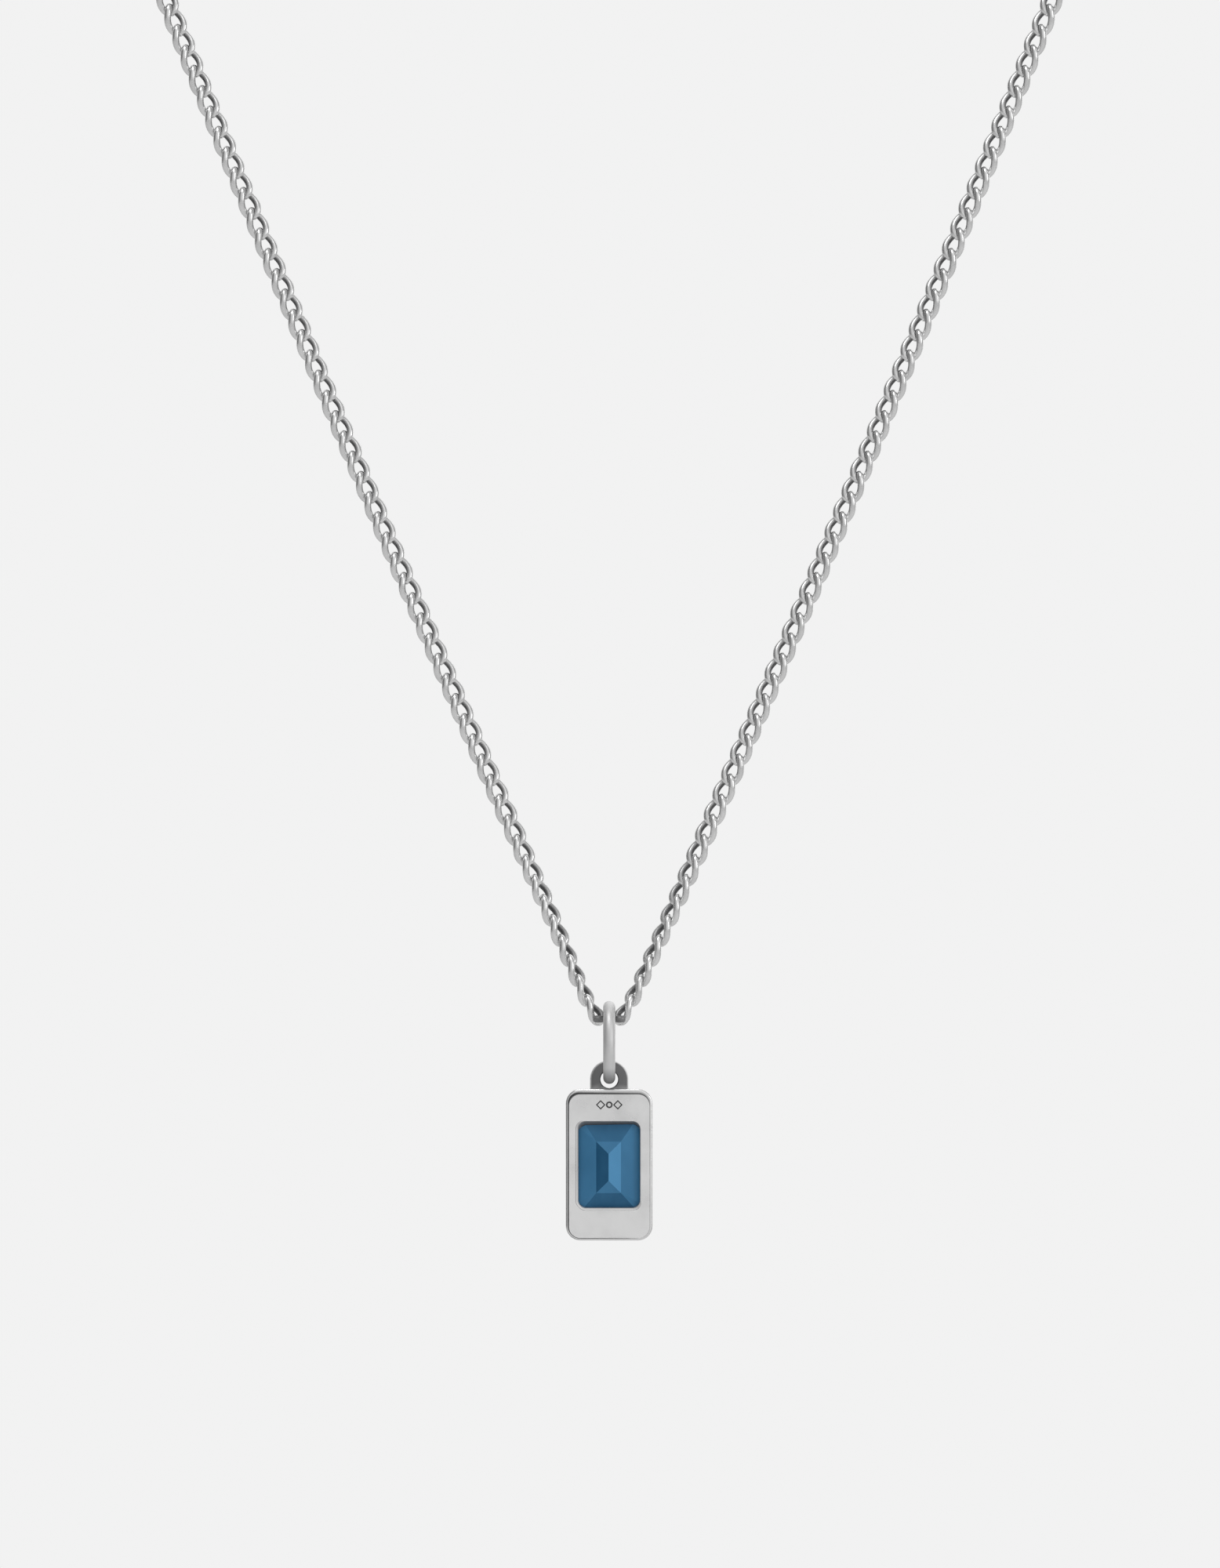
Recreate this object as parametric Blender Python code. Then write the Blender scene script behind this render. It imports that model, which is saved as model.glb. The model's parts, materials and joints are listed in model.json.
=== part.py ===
"""Pendant necklace: a curb chain with a trigger clasp, a bail ring and a rectangular pendant that
holds a step-cut stone. It hangs as it is worn, with the nape of the neck at the origin, the wearer
on the -Y side of the pendant and Z up. Sizes are in millimetres and become metres in the meshes."""

import math

import bmesh
import bpy
from mathutils import Vector

MM = 0.001

# Chain: curb links of round wire, as sections of several links with a gap at each hinge.
LINK_PITCH = 2.0
CHAIN_WIDTH = 2.05
CHAIN_THICKNESS = 1.1
SECTION_LINKS = 7
DROP_SECTIONS = 8
NECK_SECTIONS = 11
NECK_SECTION_LINKS = 6
SECTION_GAP = 0.3
SECTION_SIDES = 10
END_ROUNDING = 0.35
END_SCALE = 0.6

# Drop: each strand leans out from plumb, a little less with height, and kicks out at the bottom.
LEAN_LOW = 24.1
LEAN_HIGH = 21.7
LEAN_RUN = 100.0
LEAN_KICK = 7.5
LEAN_FADE = 0.25

# Neck loop, from the top of the drop round to the nape.
NECK_DEPTH = 86.0
NAPE_RISE = 142.0
NECK_SIDE_HANDLE = 50.0
NECK_BACK_HANDLE = 54.2
CURVE_STEPS = 400

# Bail ring, hung on the chain's lowest link.
CENTRE_BAR = 0.6
RING_OUTER = 7.57
RING_WIRE = 1.1
RING_SEAT = 0.24

# Pendant body, its lug and its window.
BODY_WIDTH = 7.9
BODY_HEIGHT = 13.8
BODY_BACK = 1.1
BODY_FRONT = 1.1
BODY_CORNER = 1.35
BACK_FILLET = 0.5
FRONT_FILLET = 0.4
SIDE_MARGIN = 1.125
END_MARGIN = 2.95
WINDOW_CORNER = 0.85
WINDOW_CHAMFER = 0.22
BACK_PLATE = 0.5
LUG_WIDTH = 3.5
LUG_THICKNESS = 1.2
LUG_EDGE = 0.15
LUG_PLAY = 0.6
LUG_HANG = 0.18
LUG_TO_BODY = 0.85
MARK_DEPTH = 0.08
MARK_SIZE = 0.85
MARK_SPACING = 0.78
MARK_BELOW_TOP = 1.45

# Stone and the collar that holds it.
STONE_LAP = 0.22
STONE_CLEARANCE = 0.2
STONE_CORNER = 0.55
GIRDLE = 0.3
SEAT_GAP = 0.15
STEP_WIDTH = 2.25
STEP_HEIGHT = 4.68
KEEL_LENGTH = 2.45
STEP_RISE = 0.62
KEEL_RISE = 0.2
CROWN_STEP_INSET = 0.55
CROWN_STEP_RISE = 0.75
TABLE_INSET = 1.25
TABLE_RISE = 1.45
COLLAR_GAP = 0.1
COLLAR_WALL = 0.4
COLLAR_FLANGE = 0.4
COLLAR_HEIGHT = 0.3

# Trigger clasp at the nape, with its hook towards -X, its tail eye towards +X and its lever below.
HOOK_OUTER = 3.1
HOOK_INNER = 1.9
HOOK_THICKNESS = 1.4
HOOK_EDGE = 0.3
HOOK_TIP_REACH = 1.2
LEVER_TIP_GAP = 0.45
MOUTH_TO = 336.0
GATE_TO = 322.0
SHANK_LENGTH = 4.3
SHANK_HEIGHT = 3.2
SHANK_THICKNESS = 2.2
SHANK_EDGE = 0.3
SLOT_WIDTH = 1.3
EYE_OUTER = 1.35
EYE_HOLE = 0.75
EYE_THICKNESS = 0.9
EYE_EDGE = 0.2
LEVER_THICKNESS = 0.9
LEVER_WIDTH = 0.85
LEVER_GAP = 0.2
PIN_RADIUS = 0.3
PIN_CLEARANCE = 0.1
BOSS_RADIUS = 0.8
NUB_LENGTH = 1.15
CLASP_RING_WIRE = 0.8
CLASP_RING_OUTER = 5.6
TAIL_RING_WIRE = 0.6
TAIL_RING_OUTER = 4.2
RING_REST = 0.18
SPRING_THICKNESS = 0.2
SPRING_WIDTH = 0.8
SPRING_FROM = 48.0
SPRING_TO = 122.0

CIRCLE = 32
CORNER_STEPS = 6
FILLET_STEPS = 4
SILVER = (0.78, 0.78, 0.77)
TOPAZ = (0.07, 0.22, 0.38)


# Scene and materials


def clear_scene():
    """Removes the objects that Blender starts with."""
    for item in list(bpy.data.objects):
        bpy.data.objects.remove(item)


def make_material(name, colour, roughness, metallic):
    """A Principled material with the given finish."""
    material = bpy.data.materials.new(name)
    material.use_nodes = True
    shader = material.node_tree.nodes["Principled BSDF"]
    shader.inputs["Base Color"].default_value = (*colour, 1.0)
    shader.inputs["Roughness"].default_value = roughness
    shader.inputs["Metallic"].default_value = metallic
    return material


# Mesh helpers, which take millimetres


def add_object(name, work, material, centre=Vector()):
    """Turns a bmesh in millimetres, drawn round its own centre, into an object placed there."""
    bmesh.ops.recalc_face_normals(work, faces=work.faces)
    bmesh.ops.scale(work, vec=(MM, MM, MM), verts=work.verts)
    mesh = bpy.data.meshes.new(name)
    work.to_mesh(mesh)
    work.free()
    mesh.shade_smooth()
    mesh.set_sharp_from_angle(angle=math.radians(32))
    if material:
        mesh.materials.append(material)
    made = bpy.data.objects.new(name, mesh)
    made.location = centre * MM
    bpy.context.collection.objects.link(made)
    return made


def skin_loops(loops, closed):
    """A bmesh over a row of equal loops, capped at both ends or closed on itself."""
    work = bmesh.new()
    rows = [[work.verts.new(point) for point in loop] for loop in loops]
    pairs = list(zip(rows, rows[1:]))
    if closed:
        pairs.append((rows[-1], rows[0]))
    else:
        work.faces.new(rows[0])
        work.faces.new(rows[-1])
    for low, high in pairs:
        for i in range(len(low)):
            j = (i + 1) % len(low)
            work.faces.new((low[i], low[j], high[j], high[i]))
    return work


def circle_points(radius, count=CIRCLE, start=0.0, turn=360.0):
    """Points (x, z) along a circle or an arc, in degrees."""
    whole = abs(turn) >= 360.0
    steps = count if whole else count - 1
    angles = [math.radians(start + turn * i / steps) for i in range(count)]
    return [(radius * math.cos(a), radius * math.sin(a)) for a in angles]


def rounded_rectangle(half_width, half_height, corner, y):
    """A loop round a rectangle with round corners, in the plane at y."""
    points = []
    for quarter, (side, up) in enumerate(((1, 1), (-1, 1), (-1, -1), (1, -1))):
        centre_x = side * (half_width - corner)
        centre_z = up * (half_height - corner)
        for x, z in circle_points(corner, CORNER_STEPS + 1, quarter * 90.0, 90.0):
            points.append(Vector((centre_x + x, y, centre_z + z)))
    return points


def plate(name, outline, thickness, material, centre=Vector(), edge=0.0):
    """An outline in the XZ plane, extruded by thickness about y = 0, with its rims rounded by edge."""
    loops = [[Vector((x, y, z)) for x, z in outline] for y in (-thickness / 2, thickness / 2)]
    work = skin_loops(loops, closed=False)
    if edge:
        rims = [e for e in work.edges if abs(e.verts[0].co.y - e.verts[1].co.y) < thickness / 2]
        bmesh.ops.bevel(work, geom=rims, offset=edge, segments=3, profile=0.5, affect="EDGES")
    return add_object(name, work, material, centre)


def ring(name, outer, wire, normal, centre, material, sides=14, steps=48):
    """A round ring of round wire, whose plane is square to normal."""
    across = Vector((0, 0, 1)) if abs(normal.z) < 0.5 else Vector((1, 0, 0))
    other = normal.cross(across)
    middle = (outer - wire) / 2
    loops = []
    for u, v in circle_points(1.0, steps):
        out = across * u + other * v
        loops.append(
            [out * (middle + s) + normal * t for s, t in circle_points(wire / 2, sides)]
        )
    return add_object(name, skin_loops(loops, closed=True), material, centre)


def apply_boolean(target, tool, operation):
    """Joins or cuts target with tool, which stays as a hidden guide."""
    step = target.modifiers.new(tool.name, "BOOLEAN")
    step.operation = operation
    step.object = tool
    step.solver = "EXACT"
    tool.hide_render = True
    tool.display_type = "WIRE"


# Centreline of the chain


def drop_bottom():
    """Middle of the chain's lowest link."""
    return Vector((0, NECK_DEPTH, -NAPE_RISE))


def drop_path(side):
    """Link joints of one strand, from the lowest link's end to the top of the drop."""
    point = Vector((LINK_PITCH / 2, 0, 0))
    path = [point.copy()]
    for i in range(DROP_SECTIONS * SECTION_LINKS):
        eased = LEAN_LOW + (LEAN_HIGH - LEAN_LOW) * i * LINK_PITCH / LEAN_RUN
        lean = math.radians(eased + LEAN_KICK * LEAN_FADE**i)
        point = point + Vector((math.sin(lean), 0, math.cos(lean))) * LINK_PITCH
        path.append(point.copy())
    return [drop_bottom() + Vector((side * p.x, 0, p.z)) for p in path]


def even_points(points, count):
    """count + 1 points at even distances along a fine polyline."""
    lengths = [0.0]
    for low, high in zip(points, points[1:]):
        lengths.append(lengths[-1] + (high - low).length)
    even = []
    place = 0
    for i in range(count + 1):
        wanted = lengths[-1] * i / count
        while place < len(points) - 2 and lengths[place + 1] < wanted:
            place += 1
        share = (wanted - lengths[place]) / (lengths[place + 1] - lengths[place])
        even.append(points[place].lerp(points[place + 1], share))
    return even


def neck_path(side, end_x):
    """Joints from the top of the drop round the neck to the clasp's ring at end_x."""
    drop = drop_path(side)
    start = drop[-1]
    start_handle = start + (drop[-1] - drop[-2]).normalized() * NECK_SIDE_HANDLE
    end = Vector((end_x, 0, 0))
    end_handle = end + Vector((side * NECK_BACK_HANDLE, 0, 0))
    fine = []
    for i in range(CURVE_STEPS + 1):
        t = i / CURVE_STEPS
        near = start * (1 - t) ** 3 + start_handle * (3 * t * (1 - t) ** 2)
        far = end_handle * (3 * t**2 * (1 - t)) + end * t**3
        fine.append(near + far)
    return even_points(fine, NECK_SECTIONS * NECK_SECTION_LINKS)


# Chain pieces


def chain_section(name, path, material, taper=END_ROUNDING, neat=END_SCALE):
    """A section's outer shape along its link joints, short of each end joint by half a gap.
    taper and neat are the length and the scale of the end that path starts from."""
    first = (path[1] - path[0]).normalized()
    last = (path[-1] - path[-2]).normalized()
    low = path[0] + first * SECTION_GAP / 2
    high = path[-1] - last * SECTION_GAP / 2
    stations = [(low, first, neat), (low + first * taper, first, 1.0)]
    for i in range(2, len(path) - 2, 2):
        stations.append((path[i], (path[i + 1] - path[i - 1]).normalized(), 1.0))
    stations += [(high - last * END_ROUNDING, last, 1.0), (high, last, END_SCALE)]
    middle = (path[0] + path[-1]) / 2
    loops = []
    for point, along, scale in stations:
        out = Vector((-along.y, along.x, 0)).normalized()
        wide = out.cross(along) * (CHAIN_WIDTH / 2 * scale)
        deep = out * (CHAIN_THICKNESS / 2 * scale)
        loop = [point - middle + wide * u + deep * v for u, v in circle_points(1.0, SECTION_SIDES)]
        loops.append(loop)
    return add_object(name, skin_loops(loops, closed=False), material, middle)


def make_chain(silver):
    """The drop's two strands, the neck's two sides and the link at the bottom."""
    for label, side, end_x in (("left", -1, hook_chain_x()), ("right", 1, tail_chain_x())):
        drop = drop_path(side)
        for k in range(DROP_SECTIONS):
            # Section 1 is the highest, and the last one narrows to pass beside the bail ring.
            low = (DROP_SECTIONS - 1 - k) * SECTION_LINKS
            part = drop[low : low + SECTION_LINKS + 1]
            name = f"drop_{label}_{k + 1}"
            if low == 0:
                chain_section(name, part, silver, LINK_PITCH, CENTRE_BAR / CHAIN_WIDTH)
            else:
                chain_section(name, part, silver)
        neck = neck_path(side, end_x)
        for k in range(NECK_SECTIONS):
            low = k * NECK_SECTION_LINKS
            part = neck[low : low + NECK_SECTION_LINKS + 1]
            chain_section(f"neck_{label}_{k + 1}", part, silver)
    half = (LINK_PITCH - SECTION_GAP) / 2
    loops = []
    for x, scale in ((-half, END_SCALE), (0.1 - half, 1.0), (half - 0.1, 1.0), (half, END_SCALE)):
        radius = CENTRE_BAR / 2 * scale
        loops.append([Vector((x, u, v)) for u, v in circle_points(radius, SECTION_SIDES)])
    add_object("centre_link", skin_loops(loops, closed=False), silver, drop_bottom())


# Bail ring and pendant


def ring_centre():
    """Centre of the bail ring, which hangs on the lowest link."""
    inner = RING_OUTER / 2 - RING_WIRE
    return drop_bottom() + Vector((0, 0, CENTRE_BAR / 2 + RING_SEAT - inner))


def hole_radius():
    """Radius of the lug's hole, which the ring's wire passes with play."""
    return (RING_WIRE + LUG_PLAY) / 2


def hole_centre():
    """Centre of the lug's hole, whose top hangs on the ring's lowest wire."""
    inside_bottom = ring_centre().z - (RING_OUTER / 2 - RING_WIRE)
    return Vector((0, NECK_DEPTH, inside_bottom + LUG_HANG - hole_radius()))


def body_centre():
    """Centre of the pendant's body, below the lug."""
    return hole_centre() - Vector((0, 0, LUG_TO_BODY + BODY_HEIGHT / 2))


def fillet_loops(size, corner, radius, face, inwards):
    """Loops round an edge, from the face at y = face out to the side wall, or the other way."""
    loops = []
    for i in range(FILLET_STEPS + 1):
        share = i if inwards else FILLET_STEPS - i
        angle = math.radians(90.0 * share / FILLET_STEPS)
        inset = radius * (1 - math.cos(angle))
        depth = radius * (1 - math.sin(angle))
        y = face - math.copysign(depth, face)
        loops.append(rounded_rectangle(size[0] - inset, size[1] - inset, corner - inset, y))
    return loops


def window_half():
    """Half width and half height of the window in the back."""
    return BODY_WIDTH / 2 - SIDE_MARGIN, BODY_HEIGHT / 2 - END_MARGIN


def stone_half():
    """Half width and half height of the stone, which laps the window's edge."""
    width, height = window_half()
    return width + STONE_LAP, height + STONE_LAP


def pocket_half():
    """Half width and half height of the pocket that takes the stone from the front."""
    width, height = stone_half()
    return width + STONE_CLEARANCE, height + STONE_CLEARANCE


def mark_cutters():
    """Three small punches above the window: a lozenge, a ring and a lozenge."""
    top = body_centre() + Vector((0, -BODY_BACK, BODY_HEIGHT / 2 - MARK_BELOW_TOP))
    cutters = []
    for number, count in ((-1, 4), (0, 12), (1, 4)):
        place = top + Vector((number * MARK_SPACING, 0, 0))
        outline = circle_points(MARK_SIZE / 2 * (0.8 if count > 4 else 1.0), count)
        name = f"mark_{number + 2}"
        cutters.append(plate(name, outline, 2 * MARK_DEPTH, None, place))
    return cutters


def make_body(silver):
    """Back plate, walls and lug in one casting, with the window and the stone's pocket."""
    outer = (BODY_WIDTH / 2, BODY_HEIGHT / 2)
    window = window_half()
    pocket = pocket_half()
    ledge = BACK_PLATE - BODY_BACK
    edge = (window[0] + WINDOW_CHAMFER, window[1] + WINDOW_CHAMFER)
    loops = [
        rounded_rectangle(*window, WINDOW_CORNER, ledge),
        rounded_rectangle(*window, WINDOW_CORNER, WINDOW_CHAMFER - BODY_BACK),
        rounded_rectangle(*edge, WINDOW_CORNER + WINDOW_CHAMFER, -BODY_BACK),
    ]
    loops += fillet_loops(outer, BODY_CORNER, BACK_FILLET, -BODY_BACK, inwards=False)
    loops += fillet_loops(outer, BODY_CORNER, FRONT_FILLET, BODY_FRONT, inwards=True)
    loops += [
        rounded_rectangle(*pocket, STONE_CORNER + STONE_CLEARANCE, BODY_FRONT),
        rounded_rectangle(*pocket, STONE_CORNER + STONE_CLEARANCE, ledge),
    ]
    body = add_object("pendant_body", skin_loops(loops, closed=True), silver, body_centre())

    hole = hole_centre()
    foot = body_centre().z + BODY_HEIGHT / 2 - hole.z - BODY_CORNER / 2
    outline = circle_points(LUG_WIDTH / 2, CIRCLE, 0.0, 180.0)
    outline += [(-LUG_WIDTH / 2, foot), (LUG_WIDTH / 2, foot)]
    lug = plate("lug_shape", outline, LUG_THICKNESS, silver, hole, LUG_EDGE)
    apply_boolean(body, lug, "UNION")
    drill = plate("lug_hole", circle_points(hole_radius()), 2 * LUG_THICKNESS, None, hole)
    apply_boolean(body, drill, "DIFFERENCE")
    for cutter in mark_cutters():
        apply_boolean(body, cutter, "DIFFERENCE")


def make_stone(topaz):
    """Step-cut stone: the keel and steps show in the back window, the table at the front."""
    half_width, half_height = stone_half()
    seat = BACK_PLATE - BODY_BACK + SEAT_GAP
    levels = [
        (half_width, half_height, STONE_CORNER, seat),
        (half_width, half_height, STONE_CORNER, seat + GIRDLE),
        (STEP_WIDTH / 2, STEP_HEIGHT / 2, 0.0, seat - STEP_RISE),
        (0.0, KEEL_LENGTH / 2, 0.0, seat - STEP_RISE - KEEL_RISE),
    ]
    for inset, rise in ((CROWN_STEP_INSET, CROWN_STEP_RISE), (TABLE_INSET, TABLE_RISE)):
        corner = STONE_CORNER * (1 - inset / half_width)
        levels.append((half_width - inset, half_height - inset, corner, seat + GIRDLE + rise))
    work = bmesh.new()
    for wide, high, corner, y in levels:
        for x, z in ((wide - corner, high), (wide, high - corner)):
            for side, up in ((1, 1), (-1, 1), (-1, -1), (1, -1)):
                work.verts.new((side * x, y, up * z))
    bmesh.ops.remove_doubles(work, verts=work.verts, dist=0.0001)
    bmesh.ops.convex_hull(work, input=work.verts)
    bmesh.ops.dissolve_limit(work, angle_limit=0.01, verts=work.verts, edges=work.edges)
    stone = add_object("gemstone", work, topaz, body_centre())
    stone.data.shade_flat()


def make_collar(silver):
    """Flanged collar in the mouth of the pocket, which holds the stone down on its ledge."""
    pocket = pocket_half()
    outer = (pocket[0] - COLLAR_GAP, pocket[1] - COLLAR_GAP)
    inner = (outer[0] - COLLAR_WALL, outer[1] - COLLAR_WALL)
    flange = (pocket[0] + COLLAR_FLANGE, pocket[1] + COLLAR_FLANGE)
    half_width = stone_half()[0]
    # The stone's crown rises inwards from its girdle, and the collar stops a gap above it there.
    crown = (half_width - inner[0]) * CROWN_STEP_RISE / CROWN_STEP_INSET
    foot = BACK_PLATE - BODY_BACK + SEAT_GAP + GIRDLE + crown + COLLAR_GAP
    under = BODY_FRONT + COLLAR_GAP
    top = under + COLLAR_HEIGHT
    corner = STONE_CORNER + STONE_CLEARANCE
    profile = (
        (inner, corner - COLLAR_WALL, foot),
        (outer, corner, foot),
        (outer, corner, under),
        (flange, corner + COLLAR_FLANGE, under),
        (flange, corner + COLLAR_FLANGE, top - COLLAR_HEIGHT / 3),
        ((flange[0] - 0.1, flange[1] - 0.1), corner + COLLAR_FLANGE - 0.1, top),
        ((inner[0] + 0.1, inner[1] + 0.1), corner - COLLAR_WALL + 0.1, top),
        (inner, corner - COLLAR_WALL, top - 0.1),
    )
    loops = [rounded_rectangle(*half, radius, y) for half, radius, y in profile]
    add_object("stone_collar", skin_loops(loops, closed=True), silver, body_centre())


# Clasp


def hook_centre():
    """Centre of the hook's round opening."""
    return Vector((-SHANK_LENGTH / 2 - 0.3, 0, 0))


def eye_centre():
    """Centre of the tail eye."""
    return Vector((SHANK_LENGTH / 2 + EYE_OUTER + 0.9, 0, 0))


def clasp_ring_centre():
    """The ring in the hook, pulled against the hook's far wall."""
    wire_x = hook_centre().x - HOOK_INNER + CLASP_RING_WIRE / 2 + RING_REST
    return Vector((wire_x - (CLASP_RING_OUTER - CLASP_RING_WIRE) / 2, 0, 0))


def tail_ring_centre():
    """The ring in the tail eye, pulled against the eye's far wall."""
    wire_x = eye_centre().x + EYE_HOLE - TAIL_RING_WIRE / 2 - RING_REST
    return Vector((wire_x + (TAIL_RING_OUTER - TAIL_RING_WIRE) / 2, 0, 0))


def hook_chain_x():
    """Where the left side of the chain ends, beyond the ring in the hook."""
    return clasp_ring_centre().x - CLASP_RING_OUTER / 2 - SECTION_GAP / 2


def tail_chain_x():
    """Where the right side of the chain ends, beyond the ring in the tail eye."""
    return tail_ring_centre().x + TAIL_RING_OUTER / 2 + SECTION_GAP / 2


def lever_pivot():
    """Centre of the lever's pin, low in the shank."""
    return Vector((SHANK_LENGTH / 2 - 0.45, 0, -SHANK_HEIGHT / 2 + 0.75))


def spring_radius():
    """Inner radius of the leaf spring that curls over the lever's boss."""
    return BOSS_RADIUS + LEVER_GAP


def arc_band(centre, inner, outer, start, stops, count):
    """Outline (x, z) of a band of a ring, from one angle to its inner and its outer end's angle."""
    sides = []
    for radius, stop in ((outer, stops[1]), (inner, stops[0])):
        points = circle_points(radius, count, start, stop - start)
        sides.append([(centre.x + x, centre.z + z) for x, z in points])
    return sides[0] + sides[1][::-1]


def plumb_end(inner, outer, reach):
    """End angles of a band that is cut plumb, at reach to the left of its centre, below it."""
    return tuple(180.0 + math.degrees(math.acos(reach / radius)) for radius in (inner, outer))


def make_clasp_body(silver):
    """Hook, slotted shank and tail eye. The hook's tip is cut plumb, so the lever can rise past it."""
    hook = hook_centre()
    eye = eye_centre()
    tip = plumb_end(HOOK_INNER, HOOK_OUTER, HOOK_TIP_REACH)
    outline = arc_band(hook, HOOK_INNER, HOOK_OUTER, MOUTH_TO - 360.0, tip, 40)
    body = plate("clasp_body", outline, HOOK_THICKNESS, silver, Vector(), HOOK_EDGE)
    half = SHANK_HEIGHT / 2
    start = hook.x + HOOK_INNER + 0.25
    end = eye.x - EYE_OUTER
    outline = [(start, -half), (end, -half * 0.7), (end + 0.9, -0.45)]
    outline += [(end + 0.9, 0.45), (end, half * 0.7), (start, half)]
    shank = plate("shank_shape", outline, SHANK_THICKNESS, silver, Vector(), SHANK_EDGE)
    apply_boolean(body, shank, "UNION")
    tail = plate("eye_shape", circle_points(EYE_OUTER), EYE_THICKNESS, silver, eye, EYE_EDGE)
    apply_boolean(body, tail, "UNION")
    drill = plate("eye_hole", circle_points(EYE_HOLE), 2 * SHANK_THICKNESS, None, eye)
    apply_boolean(body, drill, "DIFFERENCE")
    pivot = lever_pivot()
    beside = pivot.x + BOSS_RADIUS + LEVER_GAP
    above = pivot.z + spring_radius() + SPRING_THICKNESS + LEVER_GAP
    outline = [(hook.x, -HOOK_OUTER), (beside, -HOOK_OUTER), (beside, above), (hook.x, above)]
    slot = plate("lever_slot", outline, SLOT_WIDTH, None)
    apply_boolean(body, slot, "DIFFERENCE")
    hole = circle_points(PIN_RADIUS + PIN_CLEARANCE, 20)
    apply_boolean(body, plate("pin_hole", hole, 2 * SHANK_THICKNESS, None, pivot), "DIFFERENCE")


def make_lever(silver):
    """Curved lever that closes the mouth, with its boss on the pin and a thumb nub below."""
    hook = hook_centre()
    pivot = lever_pivot()
    middle = (HOOK_INNER + HOOK_OUTER) / 2
    inner = middle - LEVER_WIDTH / 2
    outer = middle + LEVER_WIDTH / 2
    tip = plumb_end(inner, outer, HOOK_TIP_REACH - LEVER_TIP_GAP)
    band = arc_band(hook - pivot, inner, outer, GATE_TO, tip, 20)
    lever = plate("clasp_lever", band, LEVER_THICKNESS, silver, pivot)
    boss = circle_points(BOSS_RADIUS, 24)
    apply_boolean(lever, plate("boss_shape", boss, LEVER_THICKNESS, silver, pivot), "UNION")
    end = math.radians(GATE_TO - 3.0)
    gate_x = hook.x + middle * math.cos(end) - pivot.x
    gate_z = middle * math.sin(end) - pivot.z
    half = LEVER_WIDTH / 2
    arm = [(gate_x - half, gate_z - half), (0.1, -BOSS_RADIUS * 0.95)]
    arm += [(0.1, BOSS_RADIUS * 0.5), (gate_x + half * 0.6, gate_z + half * 0.7)]
    apply_boolean(lever, plate("arm_shape", arm, LEVER_THICKNESS, silver, pivot), "UNION")
    nub = [(gate_x - half, gate_z), (gate_x - half * 0.6, gate_z - NUB_LENGTH)]
    nub += [(gate_x + half * 0.6, gate_z - NUB_LENGTH), (gate_x + 2 * half, gate_z)]
    apply_boolean(lever, plate("nub_shape", nub, LEVER_THICKNESS, silver, pivot), "UNION")
    hole = circle_points(PIN_RADIUS + PIN_CLEARANCE, 20)
    drill = plate("boss_hole", hole, 2 * LEVER_THICKNESS, None, pivot)
    apply_boolean(lever, drill, "DIFFERENCE")


def make_clasp(silver):
    """Clasp body, lever, pin, spring and the two rings."""
    make_clasp_body(silver)
    make_lever(silver)
    pivot = lever_pivot()
    plate("clasp_pin", circle_points(PIN_RADIUS, 20), SHANK_THICKNESS, silver, pivot)
    reach = spring_radius()
    ends = (SPRING_TO, SPRING_TO)
    leaf = arc_band(Vector(), reach, reach + SPRING_THICKNESS, SPRING_FROM, ends, 14)
    plate("clasp_spring", leaf, SPRING_WIDTH, silver, pivot)
    up = Vector((0, 0, 1))
    ring("clasp_ring", CLASP_RING_OUTER, CLASP_RING_WIRE, up, clasp_ring_centre(), silver, 12, 36)
    ring("tail_ring", TAIL_RING_OUTER, TAIL_RING_WIRE, up, tail_ring_centre(), silver, 12, 36)


def main():
    """Builds the whole necklace."""
    clear_scene()
    silver = make_material("silver", SILVER, 0.25, 1.0)
    topaz = make_material("topaz", TOPAZ, 0.05, 0.0)
    make_chain(silver)
    sideways = Vector((1, 0, 0))
    ring("bail_ring", RING_OUTER, RING_WIRE, sideways, ring_centre(), silver, 16, 56)
    make_body(silver)
    make_stone(topaz)
    make_collar(silver)
    make_clasp(silver)


main()
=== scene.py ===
# %% [markdown]
# # A pendant necklace, finished in silver
# The measured model gives every piece its place and its size. This lesson dresses it: real curb
# links in place of the plain chain sections, a soft silver finish, and a step-cut blue stone.
# The pendant is seen from the back, which lies against the wearer. Values are in millimetres,
# because a jeweller works in them, and become metres when a mesh or a light is made.

# %% Load the frame
import json
import math

import bmesh
import bpy
from mathutils import Matrix, Vector

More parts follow.
